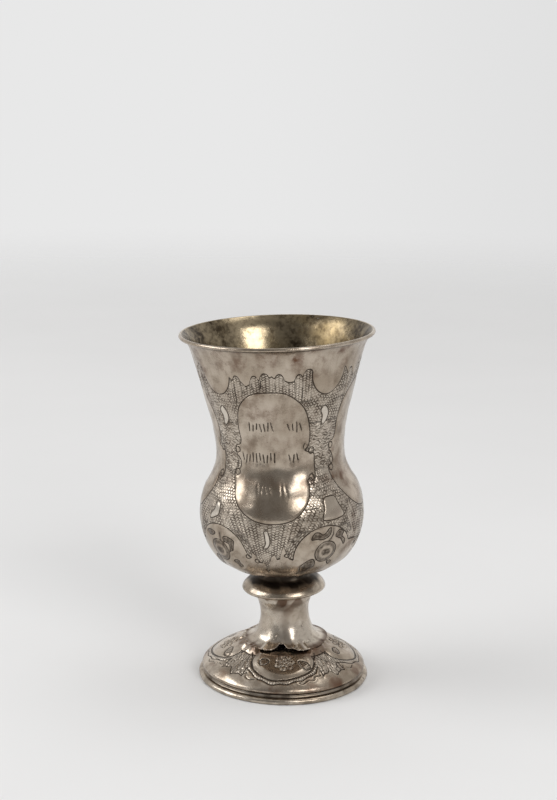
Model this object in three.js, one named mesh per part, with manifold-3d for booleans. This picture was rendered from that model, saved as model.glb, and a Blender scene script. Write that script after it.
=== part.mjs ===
// Old engraved silver wine cup (kiddush cup), in millimetres, +Z up.
// The foot stands on z = 0, and the origin is the middle of the whole cup's footprint.
// Bowl, collar and stem lean together a little to -X on the level foot.
// Angles run round the cup in degrees: 0 is the front (-Y), 90 is +X.
import * as THREE from 'three';
import { mergeVertices } from 'three/addons/utils/BufferGeometryUtils.js';
import Module from 'manifold-3d';

const wasm = await Module();
wasm.setup();

// Driving dimensions
const lip = { radius: 35.25, height: 130, bead: 0.7 };
const waist = { radius: 23.2, height: 87.5 };
const bulb = { radius: 30, height: 63 };
const bowlFloor = { radius: 10, height: 41.4 };
const collarRing = { radius: 15.4, height: 34.3, underside: 33.2 };
const stemTop = { radius: 10.4, height: 32.9 };
const stemWaist = { radius: 8.87, height: 24.7 };
const dome = { radius: 30.2, edge: 4.3, top: 13.5, hole: 10.6 };
const rimBase = { radius: 31.4, inner: 28.4, height: 2.3 };
const wall = 0.7;
const skirtWall = 0.45;
const gap = 0.32;
const lean = { degrees: 2.36, pivotX: 0.66, pivotZ: 13 };
const footOffset = 3.975;   // the lip overhangs to -X, so the foot stands this far to +X
const engraving = { width: 0.8, depth: 0.34, lift: 0.25 };
const ornamentTurn = -5.5;   // the front cartouche's middle, in degrees
const sides = { bowl: 32, collar: 28, stem: 36, foot: 40, rim: 36 };

const radians = THREE.MathUtils.degToRad;
const leanSine = Math.sin(radians(lean.degrees));
const smooth = (value, from, to) => THREE.MathUtils.smoothstep(value, from, to);
const bump = (value, middle, spread) => Math.exp(-(((value - middle) / spread) ** 2));
const wrap = (degrees) => ((degrees + 180) % 360 + 360) % 360 - 180;
const curve = (pairs) => new THREE.SplineCurve(pairs.map(([r, z]) => new THREE.Vector2(r, z)));

// A point of a profile moved off it by a distance, towards the metal's other face
function inset(profile, u, distance) {
  const at = profile.getPointAt(u);
  const along = profile.getTangentAt(u);
  return new THREE.Vector2(at.x - distance * along.y, at.y + distance * along.x);
}

// A turned piece: outline(degrees) gives its closed profile as [radius, height] vectors
function turned(outline, segments) {
  const first = outline(0);
  const geometry = new THREE.LatheGeometry(first, segments);
  const place = geometry.attributes.position;
  for (let i = 0; i <= segments; i += 1) {
    const turn = (i % segments) * 2 * Math.PI / segments;
    outline(THREE.MathUtils.radToDeg(turn)).forEach((point, j) => {
      const x = point.x * Math.sin(turn);
      const y = -point.x * Math.cos(turn);
      place.setXYZ(i * first.length + j, x, y, point.y);
    });
  }
  return closed(geometry);
}

// Only shared positions and the triangles that keep three different corners
function closed(geometry) {
  geometry.deleteAttribute('normal');
  geometry.deleteAttribute('uv');
  const merged = mergeVertices(geometry, 1e-4);
  const index = merged.index.array;
  const kept = [];
  for (let i = 0; i < index.length; i += 3) {
    const [a, b, c] = index.slice(i, i + 3);
    if (a !== b && b !== c && c !== a) kept.push(a, b, c);
  }
  merged.setIndex(kept);
  return faceOut(merged);
}

// Turns every triangle round when the closed body's volume comes out negative
function faceOut(geometry) {
  const place = geometry.attributes.position;
  const index = geometry.index.array;
  const corner = [new THREE.Vector3(), new THREE.Vector3(), new THREE.Vector3()];
  let volume = 0;
  for (let i = 0; i < index.length; i += 3) {
    corner.forEach((vector, k) => vector.fromBufferAttribute(place, index[i + k]));
    volume += corner[0].dot(corner[1].clone().cross(corner[2]));
  }
  if (volume < 0) {
    for (let i = 0; i < index.length; i += 3) {
      [index[i + 1], index[i + 2]] = [index[i + 2], index[i + 1]];
    }
  }
  return geometry;
}

function toSolid(geometry) {
  const vertProperties = new Float32Array(geometry.attributes.position.array);
  const triVerts = new Uint32Array(geometry.index.array);
  return new wasm.Manifold(new wasm.Mesh({ numProp: 3, vertProperties, triVerts }));
}

function fromSolid(solid) {
  const mesh = solid.getMesh();
  const geometry = new THREE.BufferGeometry();
  geometry.setAttribute('position', new THREE.BufferAttribute(mesh.vertProperties, 3));
  geometry.setIndex(new THREE.BufferAttribute(mesh.triVerts, 1));
  return geometry;
}

// A V-shaped cutter swept along a line on a turned surface.
// surface(u, v) gives { at, normal }; a closed line joins its end to its start.
function cutter(surface, line, steps, isClosed, size = engraving) {
  const path = new THREE.CatmullRomCurve3(
    line.map(([u, v]) => new THREE.Vector3(u, v, 0)), isClosed, 'centripetal');
  const count = isClosed ? steps : steps + 1;
  const stations = path.getSpacedPoints(steps).slice(0, count).map((p) => surface(p.x, p.y));
  const outer = size.width / 2 * (size.depth + size.lift) / size.depth;
  const place = [];
  stations.forEach(({ at, normal }, i) => {
    const before = stations[isClosed ? (i + count - 1) % count : Math.max(i - 1, 0)].at;
    const after = stations[isClosed ? (i + 1) % count : Math.min(i + 1, count - 1)].at;
    const side = after.clone().sub(before).cross(normal).normalize();
    const top = at.clone().addScaledVector(normal, size.lift);
    place.push(at.clone().addScaledVector(normal, -size.depth));
    place.push(top.clone().addScaledVector(side, outer));
    place.push(top.clone().addScaledVector(side, -outer));
  });
  const index = [];
  const spans = isClosed ? count : count - 1;
  for (let i = 0; i < spans; i += 1) {
    const a = 3 * i;
    const b = 3 * ((i + 1) % count);
    for (let k = 0; k < 3; k += 1) {
      const next = (k + 1) % 3;
      index.push(a + k, b + k, b + next, a + k, b + next, a + next);
    }
  }
  if (!isClosed) {
    const end = 3 * (count - 1);
    index.push(0, 1, 2, end, end + 2, end + 1);
  }
  const geometry = new THREE.BufferGeometry().setFromPoints(place);
  geometry.setIndex(index);
  return toSolid(faceOut(geometry));
}

// Bowl: flared mouth, narrow waist, round bulb
const bowlProfile = curve([
  [0, bowlFloor.height],
  [bowlFloor.radius, bowlFloor.height + 0.2],
  [15.6, bowlFloor.height + 1.2],
  [20.6, bowlFloor.height + 3.3],
  [24.6, bowlFloor.height + 6.5],
  [27.7, bulb.height - 10.4],
  [29.5, bulb.height - 5.4],
  [bulb.radius, bulb.height],
  [29.5, bulb.height + 5.6],
  [27.9, bulb.height + 10.6],
  [25.4, bulb.height + 15],
  [23.7, waist.height - 5],
  [waist.radius, waist.height],
  [23.8, waist.height + 6.5],
  [25.4, waist.height + 14.5],
  [27.6, waist.height + 23.3],
  [29.7, waist.height + 31.3],
  [31.2, lip.height - 6],
  [32.4, lip.height - 3.2],
  [33.9, lip.height - 1.35],
]);

function bowlOutline() {
  const outerRows = 16;
  const innerRows = 12;
  const beadFaces = 3;
  const points = bowlProfile.getSpacedPoints(outerRows);
  const centre = new THREE.Vector2(lip.radius - lip.bead, lip.height - lip.bead);
  for (let i = 0; i <= beadFaces; i += 1) {
    const turn = radians(-50 + 205 * i / beadFaces);
    points.push(new THREE.Vector2(Math.cos(turn), Math.sin(turn)).multiplyScalar(lip.bead).add(centre));
  }
  for (let i = 0; i <= innerRows; i += 1) {
    points.push(inset(bowlProfile, 1 - i / innerRows, wall));
  }
  points[points.length - 1].x = 0;
  return points;
}

// Radius and outward normal of the bowl's outside at a height
const bowlSamples = bowlProfile.getSpacedPoints(240);
function bowlSurface(degrees, height) {
  const i = Math.max(1, bowlSamples.findIndex((p) => p.y >= height));
  const low = bowlSamples[i - 1];
  const high = bowlSamples[i];
  const radius = THREE.MathUtils.mapLinear(height, low.y, high.y, low.x, high.x);
  const turn = radians(degrees);
  const slope = new THREE.Vector2(high.y - low.y, low.x - high.x).normalize();
  const out = new THREE.Vector3(Math.sin(turn), -Math.cos(turn), 0);
  return {
    at: out.clone().multiplyScalar(radius).setZ(height),
    normal: out.multiplyScalar(slope.x).setZ(slope.y),
  };
}

const mirrored = (half) => [...half, ...half.slice(0, -1).reverse().map(([u, v]) => [-u, v])];
const moved = (line, turn) => line.map(([u, v]) => [u + turn, v]);

// Cartouche: an arched upper field, side scrolls at the waist and a round lower lobe
const cartouche = mirrored([
  [0, 113], [12, 112.4], [20, 110.2], [26, 107], [29.5, 102.5], [31, 97.5], [29, 93],
  [33, 91], [36, 86.5], [35.5, 82], [32.5, 78.5], [29, 75], [23, 71], [15.5, 68.2], [0, 66.8],
]).slice(0, -1);

// An ellipse of a width in degrees and a height in millimetres, from one angle to another
function ellipse(u, v, halfWidth, halfHeight, from, to, count) {
  return Array.from({ length: count }, (_, i) => {
    const turn = radians(from + (to - from) * i / (count - 1));
    return [u + halfWidth * Math.cos(turn), v + halfHeight * Math.sin(turn)];
  });
}

const roundel = ellipse(45, 119.6, 14, 8.4, 180, 360, 9);
const medallion = ellipse(43, 54, 22, 10.5, 0, 180, 9);

function bowlCutters() {
  const cuts = [];
  for (let quarter = 0; quarter < 4; quarter += 1) {
    const turn = ornamentTurn + 90 * quarter;
    cuts.push(cutter(bowlSurface, moved(cartouche, turn), 26, true));
    cuts.push(cutter(bowlSurface, moved(roundel, turn), 7, false));
    cuts.push(cutter(bowlSurface, moved(medallion, turn), 8, false));
  }
  return cuts;
}

// Collar: a flattened hollow ring between bowl and stem
const collarProfile = curve([
  [stemTop.radius - 0.2, collarRing.underside],
  [12.4, collarRing.underside + 0.05],
  [14.5, collarRing.underside + 0.3],
  [collarRing.radius, collarRing.height],
  [14.9, collarRing.height + 1.3],
  [13.8, collarRing.height + 2.5],
  [12.2, collarRing.height + 3.7],
  [10.7, collarRing.height + 4.6],
  [10.2, collarRing.height + 5.6],
  [10.4, bowlFloor.height - gap],
]);

function collarOutline() {
  const rows = 10;
  const innerRows = 6;
  const points = collarProfile.getSpacedPoints(rows);
  for (let i = 0; i <= innerRows; i += 1) {
    points.push(inset(collarProfile, 1 - i / innerRows, wall));
  }
  points[rows + 1].y = points[rows].y;
  points.push(points[0].clone());
  return points;
}

// Stem: a waisted tube that spreads into a skirt, torn off the foot along a ragged edge
const stemProfile = curve([
  [stemTop.radius, stemTop.height],
  [10.15, 30.6],
  [9.5, 28.6],
  [9.05, 26.8],
  [stemWaist.radius, stemWaist.height],
  [8.97, 22.8],
  [9.35, 20.8],
  [10, 18.8],
  [10.9, 16.9],
  [12.1, 15.5],
  [13.8, 14.7],
  [16.4, 14.1],
]);

// Radius of the torn edge round the stem
const tornEdge = [
  [-180, 15.4], [-120, 15.8], [-75, 15.3], [-38, 15.8], [-28, 15.8], [-20, 15.1], [-14, 13.3],
  [-10, 12.1], [-3, 12], [3, 13], [13, 13.8], [19, 15.3], [30, 15.8], [42, 16.2], [75, 15.4],
  [120, 15.9], [180, 15.4],
];
function edgeRadius(degrees) {
  const angle = wrap(degrees);
  const i = tornEdge.findIndex(([at], k) => k > 0 && at >= angle);
  const [low, high] = [tornEdge[i - 1], tornEdge[i]];
  return THREE.MathUtils.mapLinear(angle, low[0], high[0], low[1], high[1]);
}

// Soft dents beaten into the foot of the stem
function stemDent(degrees, height) {
  const angle = wrap(degrees);
  const low = 1 - smooth(height, 15, 21);
  return low * (0.35 * bump(angle, 14, 9) - 0.4 * bump(angle, -8, 8) + 0.25 * bump(angle, -32, 10)
    - 0.3 * bump(angle, 38, 11));
}

const stemSamples = stemProfile.getSpacedPoints(200);
function stemOutline(degrees) {
  const outerRows = 10;
  const innerRows = 7;
  const edge = edgeRadius(degrees);
  const end = stemSamples.findLastIndex((p) => p.x <= edge && p.y < stemWaist.height) / 200;
  const sink = leanSine * Math.max(0, -Math.sin(radians(degrees)));
  const placed = (point) => {
    const settle = 1 - smooth(point.y, 14.6, 17.5);
    return new THREE.Vector2(point.x + stemDent(degrees, point.y), point.y + settle * sink * point.x);
  };
  const points = [];
  for (let i = 0; i <= outerRows; i += 1) points.push(placed(stemProfile.getPointAt(end * i / outerRows)));
  for (let i = 0; i <= innerRows; i += 1) {
    const u = end * (1 - i / innerRows);
    const thickness = u > 0.75 ? skirtWall : wall;
    points.push(placed(inset(stemProfile, u, -thickness)));
  }
  points[points.length - 1].y = stemTop.height;
  points.push(points[0].clone());
  return points;
}

// Foot: a low dome with four embossed panels, a round edge and an open underside
const domeProfile = curve([
  [dome.hole, dome.top],
  [13, dome.top],
  [15.2, dome.top - 0.15],
  [17.2, dome.top - 0.6],
  [20.4, dome.top - 2.2],
  [23.6, dome.top - 3.9],
  [26.3, dome.top - 5.5],
  [28.4, dome.edge + 2.2],
  [29.8, dome.edge + 0.9],
  [dome.radius, dome.edge],
  [29.9, dome.edge - 0.6],
  [29.3, dome.edge - 0.95],
]);

// Radius where an embossed panel ends, at an angle off the panel's middle
const panelEdge = (offset) => 26.4 - 6.2 * Math.min(1, Math.abs(offset) / 34) ** 1.8;
const panelOffset = (degrees) => ((degrees + 45) % 90 + 90) % 90 - 45;

function emboss(degrees, radius) {
  const offset = panelOffset(degrees);
  const inside = 1 - smooth(radius, panelEdge(offset) - 1.6, panelEdge(offset) + 0.6);
  const across = 1 - smooth(Math.abs(offset), 26, 38);
  const rays = bump(Math.abs(offset), 45, 12) * bump(radius, 22, 4);
  return smooth(radius, 15.5, 18) * (0.45 * inside * across - 0.25 * rays);
}

function domeOutline(degrees) {
  const topRows = 11;
  const underRows = 4;
  const points = domeProfile.getSpacedPoints(topRows);
  points.forEach((point) => { point.y += emboss(degrees, point.x); });
  for (let i = 0; i <= underRows; i += 1) {
    points.push(inset(domeProfile, 1 - i / underRows, -wall));
  }
  points[points.length - 1].set(dome.hole, dome.top - wall);
  points.push(points[0].clone());
  return points;
}

const domeSamples = domeProfile.getSpacedPoints(200);
function domeSurface(degrees, radius) {
  const i = Math.max(1, domeSamples.findIndex((p) => p.x >= radius));
  const low = domeSamples[i - 1];
  const high = domeSamples[i];
  const height = THREE.MathUtils.mapLinear(radius, low.x, high.x, low.y, high.y);
  const turn = radians(degrees);
  const slope = new THREE.Vector2(low.y - high.y, high.x - low.x).normalize();
  const out = new THREE.Vector3(Math.sin(turn), -Math.cos(turn), 0);
  return {
    at: out.clone().multiplyScalar(radius).setZ(height + emboss(degrees, radius)),
    normal: out.multiplyScalar(slope.x).setZ(slope.y),
  };
}

function footCutters() {
  const cuts = [];
  const half = [0, 9, 18, 26, 33].map((offset) => [offset, panelEdge(offset)]);
  const line = [...half.slice(1).reverse().map(([u, v]) => [-u, v]), ...half];
  for (let quarter = 0; quarter < 4; quarter += 1) {
    cuts.push(cutter(domeSurface, moved(line, 90 * quarter), 8, false));
  }
  return cuts;
}

// Foot rim: a flat flange with a round edge and a small step that carries the dome
function rimOutline() {
  return [
    [rimBase.inner, 0], [rimBase.radius - 0.5, 0], [rimBase.radius - 0.1, 0.35],
    [rimBase.radius, 0.9], [rimBase.radius - 0.2, 1.5], [rimBase.radius - 0.8, 1.95],
    [29.4, rimBase.height - 0.1], [29.2, dome.edge - 0.95 - gap], [rimBase.inner, dome.edge - 0.95 - gap],
    [rimBase.inner, 0],
  ].map(([r, z]) => new THREE.Vector2(r, z));
}

function silver(color, roughness) {
  return new THREE.MeshStandardMaterial({ color, roughness, metalness: 1 });
}

function piece(name, geometry, material, parent) {
  const mesh = new THREE.Mesh(geometry, material);
  mesh.name = name;
  parent.add(mesh);
  return mesh;
}

const cup = new THREE.Group();
const foot = new THREE.Group();
foot.position.x = footOffset;
cup.add(foot);

const upper = new THREE.Group();
upper.position.set(footOffset + lean.pivotX, 0, lean.pivotZ);
upper.rotation.y = -radians(lean.degrees);
cup.add(upper);

const worn = silver('#a0968a', 0.34);
const dull = silver('#8c8176', 0.42);

const bowlBody = toSolid(turned(bowlOutline, sides.bowl));
const bowlSolid = bowlCutters().reduce((body, cut) => body.subtract(cut), bowlBody);
const domeBody = toSolid(turned(domeOutline, sides.foot));
const domeSolid = footCutters().reduce((body, cut) => body.subtract(cut), domeBody);

const upperPieces = [
  piece('bowl', fromSolid(bowlSolid), worn, upper),
  piece('collar', turned(collarOutline, sides.collar), dull, upper),
  piece('stem', turned(stemOutline, sides.stem), worn, upper),
];
upperPieces.forEach((mesh) => { mesh.position.z = -lean.pivotZ; });
piece('foot', fromSolid(domeSolid), worn, foot);
piece('foot_rim', turned(rimOutline, sides.rim), dull, foot);

export default cup;
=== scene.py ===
# Old engraved silver kiddush cup: a leaning bowl, collar and stem on a domed foot.
import math
import bpy
import numpy as np
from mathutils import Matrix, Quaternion, Vector


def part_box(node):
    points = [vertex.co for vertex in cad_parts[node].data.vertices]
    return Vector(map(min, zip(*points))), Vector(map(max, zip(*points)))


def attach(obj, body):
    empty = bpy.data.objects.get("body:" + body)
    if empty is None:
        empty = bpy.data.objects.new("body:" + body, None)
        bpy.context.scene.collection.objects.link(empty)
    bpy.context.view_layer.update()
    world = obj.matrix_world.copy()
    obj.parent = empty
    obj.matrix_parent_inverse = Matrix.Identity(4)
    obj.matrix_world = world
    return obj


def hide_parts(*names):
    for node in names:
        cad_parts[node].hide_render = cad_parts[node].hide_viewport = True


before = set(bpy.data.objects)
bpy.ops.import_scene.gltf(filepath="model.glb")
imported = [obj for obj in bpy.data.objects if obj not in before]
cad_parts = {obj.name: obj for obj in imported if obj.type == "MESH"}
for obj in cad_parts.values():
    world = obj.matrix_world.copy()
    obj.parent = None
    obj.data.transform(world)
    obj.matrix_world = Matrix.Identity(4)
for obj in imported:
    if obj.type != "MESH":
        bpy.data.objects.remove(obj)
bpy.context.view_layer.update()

mm = 0.001
rng = np.random.default_rng(7)
rimLow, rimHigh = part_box("foot_rim")
footX = (rimLow[0] + rimHigh[0]) / 2 / mm                     # the foot's centre, mm to +X of the origin
leaning = {"degrees": 2.36, "pivotX": 0.66, "pivotZ": 13.0}   # how the upper cup leans on its foot


def smoothCurve(points, perSpan=12, closed=False):
    # Catmull-Rom: at each point the curve runs parallel to the chord of the two neighbours
    p = np.asarray(points, float)
    n = len(p)
    spans = n if closed else n - 1
    i = np.repeat(np.arange(spans), perSpan)
    t = np.tile(np.arange(perSpan) / perSpan, spans)[:, None]
    a, b, c, d = (p[(i + k) % n] if closed else p[np.clip(i + k, 0, n - 1)] for k in (-1, 0, 1, 2))
    leave, arrive = (c - a) / 2, (d - b) / 2
    curve = (2 * b - 2 * c + leave + arrive) * t**3
    curve = curve + (3 * c - 3 * b - 2 * leave - arrive) * t**2 + leave * t + b
    return curve if closed else np.vstack([curve, p[-1]])


def lengthOf(curve):
    return np.append(0, np.cumsum(np.hypot(*np.diff(curve, axis=0).T)))


def alongCurve(curve, shares):
    # points at given shares of the curve's length, and the unit direction there
    run = lengthOf(curve)
    at = np.asarray(shares) * run[-1]
    point, ahead, behind = (np.stack([np.interp(at + step, run, curve[:, k]) for k in (0, 1)], 1)
                            for step in (0, 0.05, -0.05))
    along = ahead - behind
    return point, along / np.hypot(*along.T)[:, None]


def offset(point, along, distance):
    # profile points moved to the right of their direction
    return point + distance * np.stack([along[:, 1], -along[:, 0]], 1)


def sharesByDensity(knots, rows):
    # shares of a length that lie closer together where the density is higher
    knots = np.asarray(knots, float)
    fine = np.linspace(0, 1, 2001)
    grown = np.append(0, np.cumsum(np.interp(fine[1:], knots[:, 0], knots[:, 1])))
    return np.interp(np.linspace(0, grown[-1], rows), grown, fine)


def smooth(x, low, high):
    t = np.clip((x - low) / (high - low), 0, 1)
    return t * t * (3 - 2 * t)


def bump(x, middle, spread):
    return np.exp(-((x - middle) / spread) ** 2)


def wrap(degrees):
    return (degrees + 180) % 360 - 180


def angles(columns):
    return wrap(np.arange(columns) * 360 / columns)


def table(pairs, x):
    # a value read from a list of (x, value) pairs with straight lines between them
    return np.interp(x, *np.array(pairs, float).T)


def ripple(x, y, seed, size, waves=7):
    # a smooth wandering field: a sum of sine waves in seeded directions, about -1 to 1
    r = np.random.default_rng(seed)
    total = np.zeros(np.broadcast(x, y).shape)
    for turn, phase, pace in r.uniform((0, 0, 0.6), (6.283, 6.283, 1.6), (waves, 3)):
        total += np.sin((x * np.cos(turn) + y * np.sin(turn)) * 2 * np.pi * pace / size + phase)
    return total / math.sqrt(waves)


def turnedPlace(radius, height, theta, leans):
    # radius and height carried round the axis, where 0 degrees faces -Y and 90 faces +X, then the lean
    x = radius * np.sin(np.radians(theta))
    y = -radius * np.cos(np.radians(theta))
    z = height + 0 * x
    if leans:
        a = math.radians(leaning["degrees"])
        rise = z - leaning["pivotZ"]
        z = leaning["pivotZ"] + x * math.sin(a) + rise * math.cos(a)
        x = leaning["pivotX"] + x * math.cos(a) - rise * math.sin(a)
    return np.stack([x + footX, y, z], -1) * mm


def gridPiece(name, place, materials, replaced, attributes, rowMaterial=None, poles=False):
    # rows run along the profile and columns round the axis; the profile closes, or ends in two poles
    rows, columns = place.shape[:2]
    number = np.arange(rows * columns).reshape(rows, columns)
    lower = number[1:-2] if poles else number
    upper = number[2:-1] if poles else np.roll(number, -1, axis=0)
    quads = np.stack([lower, np.roll(lower, -1, 1), np.roll(upper, -1, 1), upper], -1).reshape(-1, 4)
    fans = np.zeros((0, 3), int)
    if poles:
        first, final = number[1], number[-2]
        fans = np.vstack([np.stack([np.full(columns, number[0, 0]), np.roll(first, -1), first], 1),
                          np.stack([final, np.roll(final, -1), np.full(columns, number[-1, 0])], 1)])
    used = np.unique(np.append(quads, fans))
    renumber = np.zeros(rows * columns, int)
    renumber[used] = np.arange(len(used))
    quads, fans = renumber[quads], renumber[fans]
    points = place.reshape(-1, 3)[used]
    a, b, c, d = (points[quads[:, k]] for k in range(4))
    volume = (a * (np.cross(b, c) + np.cross(c, d))).sum()
    if volume < 0:             # a profile that runs downwards gives faces that look inwards
        quads, fans = quads[:, ::-1], fans[:, ::-1]
    mesh = bpy.data.meshes.new(name)
    mesh.from_pydata(points, [], quads.tolist() + fans.tolist())
    mesh.polygons.foreach_set("use_smooth", np.ones(len(mesh.polygons), bool))
    for key, values in attributes.items():
        layer = mesh.attributes.new(key, "FLOAT", "POINT")
        layer.data.foreach_set("value", np.asarray(values, np.float32).reshape(-1)[used])
    for material in materials:
        mesh.materials.append(material)
    if rowMaterial is not None:
        kind = np.append(np.repeat(rowMaterial[1:-2], columns), np.repeat(rowMaterial[[0, -1]], columns))
        mesh.polygons.foreach_set("material_index", kind.astype(np.int32))
    mesh.update()
    piece = bpy.data.objects.new(name, mesh)
    bpy.context.collection.objects.link(piece)
    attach(piece, "root")
    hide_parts(replaced)
    print(name, len(quads) * 2 + len(fans), "triangles")
    return piece


def signedDistance(theta, across, scaleU, scaleV, line, closed=True, reach=4.0):
    # mm to a line given in degrees and mm: the least distance to its segments, measured with the surface's
    # own scale at each point, and negative inside a closed line, which is found by counting crossings
    line = np.asarray(line, float)
    heads, tails = line, np.roll(line, -1, axis=0)
    if not closed:
        heads, tails = line[:-1], line[1:]
    middle = (line[:, 0].min() + line[:, 0].max()) / 2
    local = wrap(theta - middle) + middle
    spanU = reach / scaleU.min()
    window = (local > line[:, 0].min() - spanU) & (local < line[:, 0].max() + spanU)
    window &= (across > line[:, 1].min() - reach) & (across < line[:, 1].max() + reach)
    distance = np.full(theta.shape, reach)
    spots = np.flatnonzero(window)
    for chunk in np.array_split(spots, max(1, len(spots) // 6000)):
        u, v = local.flat[chunk][:, None], across.flat[chunk][:, None]
        su, sv = scaleU.flat[chunk][:, None], scaleV.flat[chunk][:, None]
        ax, ay = (heads[:, 0] - u) * su, (heads[:, 1] - v) * sv
        bx, by = (tails[:, 0] - u) * su, (tails[:, 1] - v) * sv
        dx, dy = bx - ax, by - ay
        t = np.clip(-(ax * dx + ay * dy) / np.maximum(dx * dx + dy * dy, 1e-9), 0, 1)
        near = np.sqrt(((ax + t * dx) ** 2 + (ay + t * dy) ** 2).min(axis=1))
        if closed:
            crosses = (heads[:, 1] > v) != (tails[:, 1] > v)
            rise = tails[:, 1] - heads[:, 1]
            slope = (tails[:, 0] - heads[:, 0]) / np.where(rise == 0, 1e-9, rise)
            inside = (crosses & (u < heads[:, 0] + slope * (v - heads[:, 1]))).sum(axis=1) % 2 == 1
            near = np.where(inside, -near, near)
        distance.flat[chunk] = np.clip(near, -reach, reach)
    return distance


def measuring(theta, across, scaleU, scaleV):
    # a function that measures from every point of a piece to an outline put round a place in degrees
    def measure(outline, turn, closed=True, perSpan=6):
        placed = np.asarray(outline, float) + [turn, 0]
        return signedDistance(theta, across, scaleU, scaleV, smoothCurve(placed, perSpan, closed), closed)
    return measure


def nearer(a, b):
    # of two signed distances the one that is nearer to its line
    return np.where(np.abs(a) < np.abs(b), a, b)


def toLines(fields):
    return np.minimum(np.minimum(np.abs(fields["field"]), np.abs(fields["motif"])), fields["cut"])


def ellipse(u, v, halfU, halfV, start=0, stop=360, count=24):
    turn = np.radians(np.linspace(start, stop, count, endpoint=stop - start < 360))
    return np.stack([u + halfU * np.cos(turn), v + halfV * np.sin(turn)], 1)


def linear(code):
    # an sRGB hex colour as linear values
    parts = [int(code[i:i + 2], 16) / 255 for i in (1, 3, 5)]
    return [c / 12.92 if c <= 0.04045 else ((c + 0.055) / 1.055) ** 2.4 for c in parts] + [1.0]


def addNode(tree, kind, inputs=(), out=0, **settings):
    # one shader node with its settings; inputs are sockets, numbers or colours, by place or by name
    made = tree.nodes.new("ShaderNode" + kind)
    for key, value in settings.items():
        setattr(made, key, value)
    usable = [s for s in made.inputs if s.enabled]
    for key, value in inputs.items() if isinstance(inputs, dict) else enumerate(inputs):
        socket = usable[key] if isinstance(key, int) else next(s for s in usable if s.name == key)
        if isinstance(value, bpy.types.NodeSocket):
            tree.links.new(value, socket)
        else:
            socket.default_value = value
    return made.outputs[out] if isinstance(out, str) else [s for s in made.outputs if s.enabled][out]


eased = {"interpolation_type": "SMOOTHSTEP"}
inColour = {"data_type": "RGBA"}


def scaleOf(size):
    # a noise scale, in cells per metre, for a pattern whose patches are this many mm wide
    return 1 / (size * mm)


def startMaterial(name, **values):
    # a principled material with the values that are the same all over it
    material = bpy.data.materials.new(name)
    material.use_nodes = True
    shader = material.node_tree.nodes["Principled BSDF"]
    for key, value in values.items():
        shader.inputs[key.replace("_", " ")].default_value = value
    return material, material.node_tree, shader


def finishMaterial(tree, shader, colour, rough, height):
    # the height is in mm, so the bump's distance is 1 mm
    relief = addNode(tree, "Bump", {"Height": height, "Strength": 1.0, "Distance": mm})
    for name, socket in (("Base Color", colour), ("Roughness", rough), ("Normal", relief)):
        tree.links.new(socket, shader.inputs[name])


engraving = {
    "lineHalf": 0.10,        # half the width of a cut at full darkness, mm; real cuts are about 0.2 mm wide
    "lineFade": 0.27,        # mm from a cut's middle at which its darkness ends
    "lineRagged": 0.16,      # mm by which the grain moves the edge of a cut
    "cutDepth": 0.12,        # mm
    "strokeDepth": 0.12,     # mm, for the punched rows of the ground
    "dentDepth": 0.12,       # mm, for the slight dents of handling
    "rowSway": 0.14,         # how far a row wriggles, in rows
    "rowDark": 0.85,         # tarnish left in the rows, and in all marks
    "markDark": 0.9,
    "rubbedBright": "#ddd5c9",
    "polish": "#c6baab",
    "dulled": "#a39584",
    "smudge": "#75685a",
    "brown": "#6a4f3f",
    "shading": "#2f261e",
    "grime": "#2b231d",
    "roughness": 0.21,
}


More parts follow.
